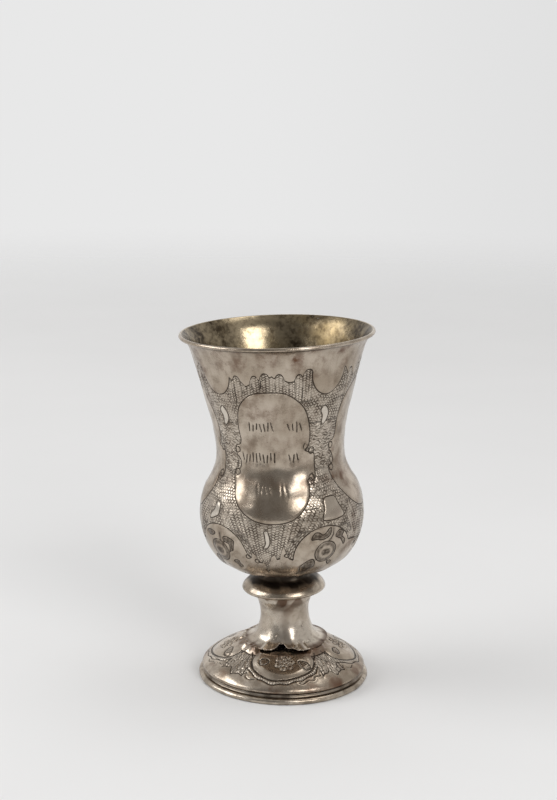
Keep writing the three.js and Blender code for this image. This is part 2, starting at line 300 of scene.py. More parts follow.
def engravedSilver():
    # sterling silver, raised by hand, engraved and long handled: a soft grey-beige metal whose cuts and
    # stippled grounds hold black-brown tarnish, while the plain fields stay polished and cloudy;
    # a fill above 0 darkens a shaded leaf and paints the shadow under the rim's bead, and one below 0
    # brightens a plain patch
    material, tree, shader = startMaterial("engraved sterling silver", Metallic=1.0)
    place = addNode(tree, "TexCoord", out="Object")
    field, motif, cut, stroke, bead, beadDepth, fill, stainAndShade = (
        addNode(tree, "Attribute", out="Fac", attribute_name=name)
        for name in ("field", "motif", "cut", "stroke", "bead", "beadDepth", "fill", "stainAndShade"))
    # each pattern's size in mm, detail and roughness
    grain, worn, cloud, blot, dents = (
        addNode(tree, "TexNoise", {"Vector": place, "Scale": scaleOf(size), "Detail": detail,
                                   "Roughness": rough})
        for size, detail, rough in ((1.0, 3.0, 0.5), (2.63, 4.0, 0.5), (20.83, 5.0, 0.62), (5.26, 5.0, 0.68),
                                    (10.53, 2.0, 0.5)))
    # cuts: the nearest of the ground's edge, a motif's edge and the free lines, made uneven by the grain
    nearest = cut
    for edge in (field, motif):
        edge = addNode(tree, "Math", [edge], operation="ABSOLUTE")
        nearest = addNode(tree, "Math", [nearest, edge], operation="MINIMUM")
    ragged = engraving["lineRagged"]
    nearest = addNode(tree, "Math", [grain, ragged, nearest], operation="MULTIPLY_ADD")
    half, faded = (engraving[key] + ragged / 2 for key in ("lineHalf", "lineFade"))
    line = addNode(tree, "MapRange", [nearest, half, faded, 1.0, 0.0], **eased)
    # wriggled rows: the row phase sways with the bead phase, and every second row is moved by half a bead
    sway = addNode(tree, "Math", [bead, math.tau], operation="MULTIPLY")
    sway = addNode(tree, "Math", [sway], operation="SINE")
    row = addNode(tree, "Math", [sway, engraving["rowSway"], stroke], operation="MULTIPLY_ADD")
    step = addNode(tree, "Math", [row], operation="FLOOR")
    step = addNode(tree, "Math", [step, 0.5, bead], operation="MULTIPLY_ADD")
    edges = []
    for phase, full in ((row, 0.43), (step, 0.44)):
        off = addNode(tree, "Math", [phase], operation="FRACT")
        off = addNode(tree, "Math", [off, 0.5], operation="SUBTRACT")
        off = addNode(tree, "Math", [off], operation="ABSOLUTE")
        edges.append(addNode(tree, "MapRange", [off, 0.26, full], **eased))
    groove, gap = edges
    gap = addNode(tree, "Math", [gap, beadDepth], operation="MULTIPLY")
    cell = addNode(tree, "Math", [groove, gap], operation="MAXIMUM")
    rubbed = addNode(tree, "MapRange", [worn, 0.38, 0.58, 0.35, 1.0], **eased)
    ground = addNode(tree, "MapRange", [field, 0.0, 0.4], **eased)
    cell = addNode(tree, "Math", [cell, addNode(tree, "Math", [rubbed, ground], operation="MULTIPLY")],
                   operation="MULTIPLY")
    marks = addNode(tree, "Math", [cell, engraving["rowDark"]], operation="MULTIPLY")
    marks = addNode(tree, "Math", [line, marks], operation="MAXIMUM")
    rubbedTop = addNode(tree, "Math", [cell, -0.6, 0.32], operation="MULTIPLY_ADD", use_clamp=True)
    rubbedTop = addNode(tree, "Math", [rubbedTop, ground], operation="MULTIPLY")
    cloudy = addNode(tree, "MapRange", [cloud, 0.32, 0.68], **eased)
    blotted = addNode(tree, "MapRange", [blot, 0.42, 0.74, 0.0, 0.7], **eased)
    broken = addNode(tree, "MapRange", [blot, 0.32, 0.62, 0.25, 1.25], **eased)
    # the stain value browns the metal: tarnish, and painted shade where the bowl meets the collar and under
    # the foot's torn skirt
    brown = addNode(tree, "Math", [stainAndShade, broken], operation="MULTIPLY", use_clamp=True)
    bright = addNode(tree, "Math", [fill, -1.0], operation="MULTIPLY", use_clamp=True)
    dark = addNode(tree, "Math", [marks, engraving["markDark"]], operation="MULTIPLY")
    colour = linear(engraving["polish"])
    for share, tint in ((cloudy, "dulled"), (blotted, "smudge"), (rubbedTop, "rubbedBright"),
                        (brown, "brown"), (fill, "shading"), (bright, "rubbedBright"), (dark, "grime")):
        colour = addNode(tree, "Mix", [share, colour, linear(engraving[tint])], **inColour)
    rough = engraving["roughness"]
    for share, gain in ((blotted, 0.16), (marks, 0.2), (brown, 0.15)):
        rough = addNode(tree, "Math", [share, gain, rough], operation="MULTIPLY_ADD")
    height = addNode(tree, "Math", [dents, engraving["dentDepth"]], operation="MULTIPLY")
    height = addNode(tree, "Math", [line, -engraving["cutDepth"], height], operation="MULTIPLY_ADD")
    height = addNode(tree, "Math", [cell, -engraving["strokeDepth"], height], operation="MULTIPLY_ADD")
    height = addNode(tree, "Math", [grain, 0.022, height], operation="MULTIPLY_ADD")
    finishMaterial(tree, shader, colour, rough, height)
    return material


def wornGilt():
    # thin fire gilding over silver inside the bowl, worn and tarnished: brown-gold, darker where the stain
    # value holds tarnish and painted shade, with a few pale rubbed specks near the lip
    material, tree, shader = startMaterial("worn gilt lining", Metallic=1.0)
    place = addNode(tree, "TexCoord", out="Object")
    stainAndShade, wear = (addNode(tree, "Attribute", out="Fac", attribute_name=name) for name in ("stainAndShade", "fill"))
    cloud, speck = (
        addNode(tree, "TexNoise", {"Vector": place, "Scale": scaleOf(size), "Detail": detail,
                                   "Roughness": rough})
        for size, detail, rough in ((16.67, 5.0, 0.6), (1.923, 4.0, 0.7)))
    cloudy = addNode(tree, "MapRange", [cloud, 0.35, 0.7], **eased)
    specked = addNode(tree, "MapRange", [speck, 0.5, 0.7, 0.0, 0.6], **eased)
    rubbed = addNode(tree, "Math", [speck, wear], operation="ADD")
    rubbed = addNode(tree, "MapRange", [rubbed, 0.98, 1.14], **eased)
    broken = addNode(tree, "MapRange", [speck, 0.3, 0.65, 0.55, 1.1], **eased)
    dark = addNode(tree, "Math", [stainAndShade, broken], operation="MULTIPLY", use_clamp=True)
    colour = linear("#b8a88c")
    for share, tint in ((cloudy, "#93815f"), (specked, "#5c4c36"), (dark, "#3a3024"), (rubbed, "#cfc8bb")):
        colour = addNode(tree, "Mix", [share, colour, linear(tint)], **inColour)
    rough = addNode(tree, "Math", [cloudy, 0.08, 0.17], operation="MULTIPLY_ADD")
    rough = addNode(tree, "Math", [dark, 0.14, rough], operation="MULTIPLY_ADD")
    height = addNode(tree, "Math", [cloud, 0.2], operation="MULTIPLY")
    height = addNode(tree, "Math", [speck, 0.03, height], operation="MULTIPLY_ADD")
    finishMaterial(tree, shader, colour, rough, height)
    return material


def plainSilver(name, polish, dulled, tarnishAndShade, roughness, pitDepth):
    # plain raised silver, hand worn: cloudy and lightly pitted, with tarnish and painted shade where the
    # stain value is high
    material, tree, shader = startMaterial(name, Metallic=1.0)
    place = addNode(tree, "TexCoord", out="Object")
    stainAndShade = addNode(tree, "Attribute", out="Fac", attribute_name="stainAndShade")
    cloud, grain = (
        addNode(tree, "TexNoise", {"Vector": place, "Scale": scaleOf(size), "Detail": detail,
                                   "Roughness": rough})
        for size, detail, rough in ((11.11, 5.0, 0.62), (1.923, 3.0, 0.5)))
    # rubbing marks run upwards
    drawn = addNode(tree, "Mapping", {"Vector": place, "Scale": (1.0, 1.0, 0.2)})
    hairs = addNode(tree, "TexNoise", {"Vector": drawn, "Scale": scaleOf(0.6667), "Detail": 3.0})
    cloudy = addNode(tree, "MapRange", [cloud, 0.34, 0.68], **eased)
    pit = addNode(tree, "MapRange", [grain, 0.67, 0.75], **eased)
    mottle = addNode(tree, "MapRange", [grain, 0.45, 0.7, 0.0, 0.3], **eased)
    pitted = addNode(tree, "Math", [pit, 0.6], operation="MULTIPLY")
    colour = linear(polish)
    for share, tint in ((cloudy, dulled), (mottle, "#6f6254"), (stainAndShade, tarnishAndShade), (pitted, "#3a2f28")):
        colour = addNode(tree, "Mix", [share, colour, linear(tint)], **inColour)
    rough = addNode(tree, "Math", [cloudy, 0.07, roughness], operation="MULTIPLY_ADD")
    rough = addNode(tree, "Math", [stainAndShade, 0.2, rough], operation="MULTIPLY_ADD")
    height = addNode(tree, "Math", [hairs, 0.012], operation="MULTIPLY")
    height = addNode(tree, "Math", [cloud, 0.12, height], operation="MULTIPLY_ADD")
    height = addNode(tree, "Math", [pit, -pitDepth, height], operation="MULTIPLY_ADD")
    finishMaterial(tree, shader, colour, rough, height)
    return material


unmarked = {"field": -4.0, "motif": 4.0, "cut": 4.0, "stroke": 0.25, "bead": 0.25, "beadDepth": 0.0}

bowl = {
    "profile": [
        (0, 41.4), (10, 41.6), (15.6, 42.6), (20.6, 44.7), (24.6, 47.9), (27.7, 52.6), (29.5, 57.6),
        (30, 63), (29.5, 68.6), (27.9, 73.6), (25.4, 78), (23.7, 82.5), (23.2, 87.5), (23.8, 94),
        (25.4, 102), (27.6, 110.8), (29.7, 118.8), (31.2, 124), (32.4, 126.8), (33.9, 128.65),
    ],
    "wall": 0.7,
    "bead": 0.7,
    "beadCentre": (34.55, 129.3),
    "columns": 480,
    "outerRows": 156,
    "beadRows": 10,
    "innerRows": 32,
    "lineDepth": 0.15,
    "groundDepth": 0.06,
    "bays": (-5.5, 84.0, 175.5, -93.0),          # middles of the cartouches, degrees
    "piers": (38.0, 130.0, -139.0, -48.0),       # middles of the stippled strips between them
    "medallions": (31.5, 124.5, -141.5, -48.5),  # middles of the flower fields on the bulb
    "rowPitch": 1.05,                            # mm from one wriggled row to the next
    "fanStep": 2.7,                              # degrees between the rows that fan out below a cartouche
}

# outlines in degrees off a bay's or pier's middle, and mm of height
cartouche = [
    (-29, 97.5), (-28.5, 102), (-25.5, 107), (-19.5, 110.5), (-12.5, 112.5), (-2.5, 113.2), (5.5, 113.1),
    (12.5, 112.3), (19.5, 110), (25.5, 107), (29.5, 103), (32, 98), (32, 94.5), (30.5, 92.3), (28, 91.2),
    (32.5, 90.2), (37, 89.5), (37.2, 86), (37, 82), (35, 80), (32, 81.2), (29, 80.2), (29.5, 78),
    (27.5, 75), (22.5, 71.5), (15.5, 68.4), (7.5, 67), (-1.5, 66.7), (-9.5, 67.2), (-16.5, 68.5),
    (-24.5, 71.3), (-30.5, 75), (-34.5, 79), (-36.5, 82), (-36, 84), (-31.5, 84.3), (-30, 86.5),
    (-32, 88.5), (-34.5, 89.5), (-34.8, 92.5), (-30.5, 93.2), (-28.7, 95),
]
comma = [
    (-2.5, 106.2), (1, 106.8), (4.3, 105), (5, 102.8), (3, 100.8), (0, 99.8), (-1.5, 100.8), (-0.8, 103),
    (-2.8, 104.6),
]
bell = [
    (-5.2, 73.8), (0, 74.4), (5.2, 74), (7, 71.5), (10.5, 68), (11, 66.9), (2, 66.2), (-7.5, 66.6),
    (-7.6, 68.4), (-6, 70.5),
]
drop = [(-3, 72.5), (0, 71), (-0.5, 68), (-4, 66.8), (-9.5, 65.8), (-8.5, 68), (-5.5, 69.5), (-5, 71.5)]
kidney = [
    (-6.3, 64), (-4, 64.3), (-2.4, 62), (-2.3, 59.8), (-4, 58), (-7.2, 57.8), (-5.5, 59.5), (-5.8, 62),
]
crownBase = [
    (-46, 121), (-31, 120), (-27, 117.3), (-20, 117), (-16.5, 115.2), (-13, 116.3), (-7, 117.5), (10, 117.5),
    (14, 116.7), (18, 117.1), (24, 117.5), (31, 120), (46, 121),
]
crownTongues = [
    (-23.2, 2.9, 119), (-10, 2.8, 119.3), (-2.8, 3.1, 120.3), (2, 1.8, 119.1), (7, 3.1, 119.9),
    (20.4, 2.7, 119.5), (27, 3.4, 121.2),
]
tongueSides = [
    (-26.2, 116, 109), (-20.4, 117.5, 112.5), (-12.7, 117, 114.4), (-7, 117.6, 114.2), (-5.9, 118.2, 115),
    (0.4, 118, 114.6), (3.7, 117.6, 114), (10.2, 117.5, 114), (13.2, 116.6, 113.6), (17.6, 117.3, 112.8),
    (23.2, 118.2, 110.6), (26, 119.5, 111.4),
]
apronFoot = [
    (-46, 58), (-21, 56.5), (-19.5, 54.4), (-17, 53.6), (-15.5, 56), (-13.3, 55), (-12.3, 51.9), (-9.5, 51.7),
    (-8, 53), (-6.8, 49), (-5.5, 47.6), (-4.2, 48.5), (-3.6, 52), (-2, 54.5), (0.5, 55.5), (1.8, 53.3),
    (4, 53.6), (5.5, 57), (7, 59), (8.5, 56), (10.5, 53.6), (13.5, 53), (15.5, 54.8), (18, 56.5), (46, 58),
]
curls = [
    (-19.4, 53.9, 0.8), (-13, 52.3, 0.8), (9, 54.9, 0.75), (33.2, 81.3, 1.1), (34.2, 90.8, 1.2),
    (-33.2, 91.2, 1.1), (-33.4, 83.2, 1.1),
]
hooks = [
    [(28, 91.2), (26.6, 92.2), (27.6, 93.6), (30, 93), (31.5, 91.5), (34, 91.9), (36, 90.2)],
    [(29, 80.2), (30.6, 78.9), (33.4, 79.2), (35, 80.6), (34.6, 82.6), (32.4, 83)],
    [(-31.5, 84.3), (-33.5, 85.4), (-33, 87.2), (-30.8, 87.4)],
]
flower = {"at": (1.3, 54.6), "rings": ((8.7, 4.1), (5.2, 2.35), (3.9, 1.55))}
rightLeaves = [
    [(-10.5, 60.1), (-9.9, 61.4), (-8, 62.5), (-5, 62.4), (-2, 61.4), (0.5, 61.9), (3, 63.3), (4.8, 63.4),
     (4.3, 61.6), (2.8, 60.4), (-0.5, 59.8), (-4, 59.8), (-6.5, 60.2)],
    [(8.5, 60.2), (10.5, 61.5), (13, 62), (16, 61), (16.5, 60.2), (14.5, 59.5), (17.5, 58), (18.5, 56.5),
     (17.5, 55.8), (15.5, 57.2), (13.5, 58.5), (10.5, 59.3)],
    [(-18, 49.5), (-15.5, 51), (-12, 52), (-8.5, 52.3), (-6, 50.5), (-6.5, 48.5), (-9.5, 47.8), (-12.5, 46.6),
     (-14.5, 46), (-19.5, 46), (-17.5, 47.5)],
    [(5, 50.4), (9.5, 50), (9, 48.6), (7, 49)],
]
leftLeaves = [
    [(4, 60), (5.5, 60.4), (8.5, 60.4), (12, 59.8), (13.5, 59), (12.7, 57.5), (11.7, 55.6), (9.5, 55.1),
     (8.5, 54.8), (9.5, 56.5), (9, 57.8), (6.5, 58.3), (4.5, 58.8)],
    [(8.5, 50.6), (11, 51.5), (14, 51.3), (13.5, 50.3), (15.5, 49.2), (12.5, 48.2), (11, 49.6)],
    [(-14, 60.4), (-11.5, 61.4), (-7, 61.6), (-3.5, 61), (-6, 60), (-10, 59.6)],
    [(-17, 48), (-14, 50.6), (-10, 51.6), (-7.5, 50.4), (-10, 48), (-13, 46.8)],
]
stalks = [[(6.5, 63.5), (6.3, 61), (4.5, 59.5), (3, 58.8)], [(1.2, 61.5), (1.6, 59.5), (1.4, 58.4)]]
ribbon = [
    (-25, 60.2), (-22, 62.5), (-18.5, 65), (-14.5, 65.2), (-11.5, 63.8), (-15.5, 62.3), (-19, 60.5),
    (-22.5, 59.4),
]
# brown patches: degrees and spread, mm of height and spread, strength
flanks = [(58, 12, 74, 20, 0.45), (-62, 12, 112, 12, 0.36)]
smudges = [(-12, 14, 107, 4.5, 0.42), (5, 22, 95, 2.5, 0.252), (11, 1.4, 125.2, 0.7, 0.9)]
# rows of plain strokes: low and high ends in mm, first and last place in degrees, and the pitch in degrees
tallies = [
    (98.2, 102, -24, -3, 3.1), (98.2, 102, 8, 20, 3.4), (86.8, 90.7, -33, -3, 3.2), (86.8, 90.7, 9, 18, 3.4),
    (76.4, 79.4, -18, -5, 3.4), (75.8, 79.4, 1, 5, 3.6),
]


def tallyStrokes():
    # plain slanted strokes as short segments in degrees and mm
    strokes = []
    for low, high, start, stop, pitch in tallies:
        for at in np.arange(start, stop, pitch):
            tall = rng.uniform(0.6, 1.0) * (high - low)
            base = low + rng.uniform(0, 1) * (high - low - tall)
            slant = rng.uniform(-1.1, 0.6)
            strokes.append([(at - slant, base), (at + slant, base + tall)])
    return strokes


def bowlOrnament(theta, height, radius, slope, run):
    # field: mm inside the stippled ground; motif: mm outside a leaf or petal; cut: mm to a free line;
    # stroke and bead: phases across and along the rows of the ground; fill: darkness of the shaded leaves,
    # and below 0 the brightness of the small plain patches
    scaleU = np.radians(1) * radius
    girth = theta * 0.45
    field, motif, cut = (np.full(theta.shape, 4.0) for _ in range(3))
    fill, patch = np.zeros(theta.shape), np.zeros(theta.shape)
    long = smooth(height, 82, 85) * (1 - smooth(height, 98, 104))
    stroke = run / bowl["rowPitch"] + 0.30 * ripple(girth, run, 3, 11)
    stroke += (0.1 + 0.2 * long) * ripple(girth, run, 4, 4)
    bead = girth / 1.15 + 0.2 * ripple(girth, run, 5, 6)
    bead = np.where(long > 0.5, girth / 2.7 + 0.35 * ripple(girth, run, 6, 6), bead)
    beadDepth = 0.9 - 0.3 * long

    measure = measuring(theta, height, scaleU, slope)
    for turn in bowl["bays"]:
        off = wrap(theta - turn)
        near = np.abs(off) <= 46
        small = measure(kidney, turn)
        patch = np.maximum(patch, smooth(-small, 0.1, 0.4))
        field = np.minimum(field, np.minimum(measure(cartouche, turn), small))
        top = table(crownBase, off)
        for middle, half, peak in crownTongues:
            top = np.maximum(top, peak - 1.5 * np.minimum(np.abs((off - middle) / half), 3) ** 2.6)
        low = table(apronFoot, off)
        between = np.minimum((top - height) * 0.8, (height - low) * 0.7)
        field = np.where(near, np.minimum(field, between), field)
        for at, high, deep in tongueSides:
            cut = np.minimum(cut, np.abs(measure([(at, high), (at + 0.3, deep)], turn, False, 2)) + 0.02)
        for hook in hooks:
            cut = np.minimum(cut, np.abs(measure(hook, turn, False)))
        for u, v, size in curls:
            curl = measure(ellipse(u, v, size / 0.45, size, count=10), turn)
            motif = nearer(curl, motif)
        crown = near & (np.abs(off) < 30) & (height > 109) & (field > -1)
        stroke = np.where(crown, off * 0.52 / 1.2, stroke)
        bead = np.where(crown, run / 0.95, bead)
        beadDepth = np.where(crown, 0.75, beadDepth)
        apron = (np.abs(off) < 33) & (height < 71)
        du, dv = (off + 3.5) * scaleU, height - 36.0
        stroke = np.where(apron, np.degrees(np.arctan2(du, dv)) / bowl["fanStep"], stroke)
        bead = np.where(apron, np.hypot(du, dv) / 0.95, bead)
    for turn in bowl["piers"]:
        roundel = measure(ellipse(0, 119.8, 14, 8.6, count=40), turn)
        field = np.minimum(field, roundel)
        for outline in (comma, bell if turn > 0 else drop):
            small = measure(outline, turn, perSpan=3)
            field = np.minimum(field, small)
            patch = np.maximum(patch, smooth(-small, 0.1, 0.4) * (0.35 if outline is bell else 1))
    for turn in bowl["medallions"]:
        side = -1 if turn < 0 else 1
        arch = measure(ellipse(0, 53.5, 23.5, 11, count=48), turn)
        field = np.minimum(field, arch)
        edging = (arch > 0.1) & (arch < 2.6) & (height > 50) & (height < 63.5)
        stroke = np.where(edging, arch / 0.85, stroke)
        bead = np.where(edging, run / 1.9, bead)
        hatch = 0.6 + 0.4 * np.sin(run * 5.5)
        for toward, dark in ((side, 0.7), (-side, 0.4)):
            band = measure(np.asarray(ribbon) * [toward, 1], turn)
            fill = np.maximum(fill, dark * smooth(-band, -0.3, 0.7) * hatch)
        u, v = flower["at"]
        outer, middle, heart = (measure(ellipse(u * side, v, *ring), turn) for ring in flower["rings"])
        motif = nearer(outer, motif)
        fill = np.maximum(fill, 0.75 * smooth(-outer, 0.1, 0.6) * smooth(middle, 0.0, 0.35))
        fill = np.maximum(fill, 0.35 * bump(outer, -0.5, 0.5))
        fill = np.maximum(fill, 0.88 * smooth(-heart, -0.1, 0.35))
        for leaf in rightLeaves if side > 0 else leftLeaves:
            outline = measure(leaf, turn)
            motif = nearer(outline, motif)
            fill = np.maximum(fill, 0.86 * smooth(-outline, -0.1, 0.6))
        line = np.abs(measure(stalks[0] if side > 0 else stalks[1], turn, False))
        cut = np.minimum(cut, line)
        fill = np.maximum(fill, 0.5 * bump(line, 0, 0.7))
    fill *= 0.85 + 0.25 * ripple(girth, run, 7, 1.6)
    return {"field": field, "motif": motif, "cut": cut, "stroke": stroke, "bead": bead,
            "beadDepth": beadDepth, "fill": np.clip(fill, 0, 0.88) - 0.75 * patch}, measure


def bowlStainAndShade(theta, height):
    # brown under the lip, the patches listed above, a darker band round the waist, and painted shade low on
    # the bowl where it meets the collar
    girth = theta * 0.5
    cloud = smooth(ripple(girth, height, 21, 13) + 0.8 * ripple(girth, height, 22, 5), -0.5, 1.3)
    lip = smooth(height, 117, 127.5) * (0.35 + 0.65 * bump(theta, 30, 34) + 0.35 * bump(theta, -30, 16))
    flank, smudge = (sum(strong * bump(theta, u, wide) * bump(height, v, tall)
                         for u, wide, v, tall, strong in patches) for patches in (flanks, smudges))
    total = 0.62 * lip * (0.25 + 0.75 * cloud) + flank * (0.5 + 0.5 * cloud) + smudge
    # painted shade low on the bowl, where it sits on the collar, and a darker band round the waist
    waistBandAndCollarShade = 0.25 * bump(height, 80, 2.0) + 0.5 * bump(height, 43.6, 1.5)
    return np.clip(total + 0.14 * cloud + waistBandAndCollarShade, 0, 0.9)


def makeBowl():
    # profile and wall as in the solid; lines and the ground are sunk along the surface's normal
    curve = smoothCurve(bowl["profile"], 24)
    shares = sharesByDensity([(0, 0.35), (0.15, 0.45), (0.2, 1), (0.93, 1), (1, 1.3)], bowl["outerRows"])
    outer, along = alongCurve(curve, shares)
    turn = np.radians(np.linspace(-50, 155, bowl["beadRows"]))
    bead = np.array(bowl["beadCentre"]) + bowl["bead"] * np.stack([np.cos(turn), np.sin(turn)], 1)
    inner, innerAlong = alongCurve(curve, np.linspace(1, 0, bowl["innerRows"]))
    inner = offset(inner, innerAlong, -bowl["wall"])
    inner[-1, 0] = 0
    rest = np.vstack([bead, inner])
    theta = angles(bowl["columns"])
    th, z = np.meshgrid(theta, outer[:, 1])
    r, rise, run = (np.repeat(v[:, None], len(theta), 1) for v in (
        outer[:, 0], 1 / np.maximum(np.abs(along[:, 1]), 0.2), shares * lengthOf(curve)[-1]))
    fields, measure = bowlOrnament(th, z, np.maximum(r, 5), rise, run)
    for stroke in tallyStrokes():
        faint = np.where(z < 84, 0.1, -0.03)
        fields["cut"] = np.minimum(fields["cut"], np.abs(measure(stroke, 0, False, 2)) + faint)
    lines = toLines(fields)
    sink = bowl["lineDepth"] * bump(lines, 0, 0.4)
    sink += bowl["groundDepth"] * smooth(fields["field"], -0.1, 0.3)
    sink += 0.10 * ripple(th * 0.5, z, 31, 22) + 0.05 * ripple(th * 0.5, z, 32, 9)      # raised by hand
    sink *= smooth(run, 6, 20) * (1 - smooth(z, 126, 129))
    radius = np.vstack([r - sink * along[:, 1:], np.repeat(rest[:, :1], len(theta), 1)])
    height = np.vstack([z + sink * along[:, :1], np.repeat(rest[:, 1:], len(theta), 1)])
    full, restZ = np.meshgrid(theta, rest[:, 1])
    attributes = {k: np.vstack([fields[k], np.full(full.shape, v)]) for k, v in unmarked.items()}
    # inside: tarnish deepened by painted shade, with two lighter stretches of the wall as painted glints, and
    # rubbed specks by the lip
    # painted glints: the darkening is cleared where the wall's two reflections fall
    clear = np.maximum(bump(wrap(full + 160), 0, 15), 0.7 * bump(wrap(full - 139), 0, 8))
    dark = 0.6 + 0.35 * smooth(ripple(full * 0.5, restZ * 0.35, 41, 9), -0.6, 0.9)
    dark = dark * (1 - 0.85 * clear) * np.where(np.arange(len(rest))[:, None] < bowl["beadRows"] - 2, 0, 1)
    wear = 0.34 * smooth(restZ, 118, 128)
    # painted shadow: a dark line along the wall just under the rim's bead
    underBeadShadow = 0.8 * bump(z, 128.5, 0.35)
    attributes["stainAndShade"] = np.vstack([bowlStainAndShade(th, z), dark])
    attributes["fill"] = np.vstack([fields["fill"] + underBeadShadow, wear])
    attributes["fill"][len(outer):len(outer) + bowl["beadRows"] - 2] = 0
    lining = (np.arange(len(radius)) >= len(outer) + bowl["beadRows"] - 3).astype(int)
    place = turnedPlace(radius, height, theta[None, :], True)
    gridPiece("bowl_shell", place, [engravedSilver(), wornGilt()], "bowl", attributes,
              rowMaterial=lining, poles=True)


collar = {
    "profile": [
        (10.2, 33.2), (12.4, 33.25), (14.5, 33.5), (15.4, 34.3), (14.9, 35.6), (13.8, 36.8), (12.2, 38),
        (10.7, 38.9), (10.2, 39.9), (10.4, 41.05),
    ],
    "wall": 0.7,
    "columns": 300,
    "outerRows": 64,
    "innerRows": 20,
}


def makeCollar():
    curve = smoothCurve(collar["profile"], 16)
    outer, _ = alongCurve(curve, np.linspace(0, 1, collar["outerRows"]))
    inner, along = alongCurve(curve, np.linspace(1, 0, collar["innerRows"]))
    profile = np.vstack([outer, offset(inner, along, -collar["wall"])])
    theta = angles(collar["columns"])
    th, z = np.meshgrid(theta, profile[:, 1])
    radius = profile[:, :1] + 0.05 * ripple(th * 0.25, z, 51, 14)
    # painted shade on the collar's upper turn, under the bowl
    shadeUnderBowl = smooth(z, 36.6, 38.2) * (0.9 + 0.1 * ripple(th * 0.25, z, 53, 6))
    smut = 0.42 * smooth(ripple(th * 0.25, z * 1.5, 54, 8), -0.1, 1.2) * smooth(z, 34.6, 35.4)
    metal = plainSilver("tarnished and shaded silver collar", "#c4b8a8", "#9c8e7d", "#211a15", 0.2, 0.12)
    place = turnedPlace(radius, z, theta[None, :], True)
    gridPiece("collar_ring", place, [metal], "collar",
              {"stainAndShade": np.clip(shadeUnderBowl + smut, 0, 0.95)})


stem = {
    "profile": [
        (10.4, 32.9), (10.15, 30.6), (9.5, 28.6), (9.05, 26.8), (8.87, 24.7), (8.97, 22.8), (9.35, 20.8),
        (10, 18.8), (10.9, 16.9), (12.1, 15.5), (13.8, 14.7), (16.4, 14.1),
    ],
    "tornEdge": [
        (-180, 15.4), (-120, 15.8), (-75, 15.3), (-38, 15.8), (-28, 15.8), (-20, 15.1), (-14, 13.3),
        (-10, 12.1), (-3, 12), (3, 13), (13, 13.8), (19, 15.3), (30, 15.8), (42, 16.2), (75, 15.4),
        (120, 15.9), (180, 15.4),
    ],
    "tornFrom": -34,
    "tornTo": 34,
    "wall": 0.7,
    "skirtWall": 0.45,
    "columns": 360,
    "outerRows": 96,
    "innerRows": 40,
}


def torn(theta):
    # 1 in the stretch of the skirt that is cracked free of the foot, 0 where it is still soldered down
    return smooth(theta, stem["tornFrom"] - 5, stem["tornFrom"] + 3) * (
        1 - smooth(theta, stem["tornTo"] - 3, stem["tornTo"] + 5))


def makeStem():
    # each column follows the profile down to its own torn edge and comes back a wall's thickness inside
    curve = smoothCurve(stem["profile"], 16)
    length = lengthOf(curve)
    theta = angles(stem["columns"])
    free = torn(theta)
    edge = table(stem["tornEdge"], theta)
    edge += free * 0.14 * ripple(theta * 0.27, 0 * theta, 61, 2.4)
    edge += free * 0.07 * ripple(theta * 0.27, 0 * theta, 62, 1)
    skirt = curve[:, 1] < 22
    share = np.interp(edge, curve[skirt, 0], length[skirt]) / length[-1]
    down, up = np.linspace(0, 1, stem["outerRows"]), np.linspace(1, 0, stem["innerRows"])
    shares = np.append(down, up)[:, None] * share
    point, along = (a.reshape(len(shares), len(theta), 2) for a in alongCurve(curve, shares.reshape(-1)))
    inside = (np.arange(len(shares)) >= stem["outerRows"])[:, None]
    z0 = point[..., 1]
    thick = inside * (stem["skirtWall"] + (stem["wall"] - stem["skirtWall"]) * smooth(z0, 15.5, 18))
    radius = point[..., 0] + thick * along[..., 1]
    height = z0 - thick * along[..., 0]
    th = np.broadcast_to(theta, radius.shape)
    low = 1 - smooth(z0, 15, 22)
    radius = radius + low * (0.45 * bump(th, 14, 9) - 0.5 * bump(th, -8, 8) + 0.3 * bump(th, -32, 10)
                             - 0.3 * bump(th, 38, 11))
    radius = radius + 0.06 * ripple(th * 0.16, z0, 63, 9)
    settle = 1 - smooth(z0, 14.6, 17.5)
    lean = math.sin(math.radians(leaning["degrees"]))
    height = height + settle * lean * np.maximum(0, -np.sin(np.radians(th))) * radius
    height = height + settle * free * 0.14 * ripple(th * 0.25, 0 * th, 64, 4)
    brown = smooth(z0, 25, 31) * smooth(ripple(th * 0.16, z0, 65, 5) + 1.1 * bump(th, 9, 20), 0.0, 1.0)
    # painted reflection: a dark band down the front of the stem
    paintedDarkReflection = 0.4 * bump(th, 2, 13) * smooth(z0, 15, 18)
    skirtDirt = (1 - smooth(z0, 14.3, 14.9)) * (1 - free) * 0.8
    skirtDirt = skirtDirt + 0.4 * settle * smooth(ripple(th * 0.25, z0, 66, 4), 0.1, 1.0)
    # painted shade at the top of the stem, under the collar
    shadeUnderCollar = 0.65 * smooth(z0, 31, 32.4)
    metal = plainSilver("plain raised silver", "#d0c6b8", "#ad9f8f", "#5d4636", 0.24, 0.2)
    place = turnedPlace(radius, height, theta[None, :], True)
    gridPiece("stem_tube", place, [metal], "stem",
              {"stainAndShade": np.clip(0.7 * brown + paintedDarkReflection + skirtDirt + shadeUnderCollar, 0, 0.92)})


foot = {
    "profile": [
        (10.6, 13.5), (13, 13.5), (15.2, 13.35), (17.2, 12.9), (20.4, 11.3), (23.6, 9.6), (26.3, 8.0),
        (28.4, 6.5), (29.8, 5.2), (30.2, 4.3), (29.9, 3.7), (29.3, 3.35),
    ],
    "wall": 0.7,
    "columns": 560,
    "outerRows": 142,
    "innerRows": 20,
    "panels": (0.0, 90.0, 180.0, -90.0),
    "lineDepth": 0.13,
    "solderHeight": 1.15,
}
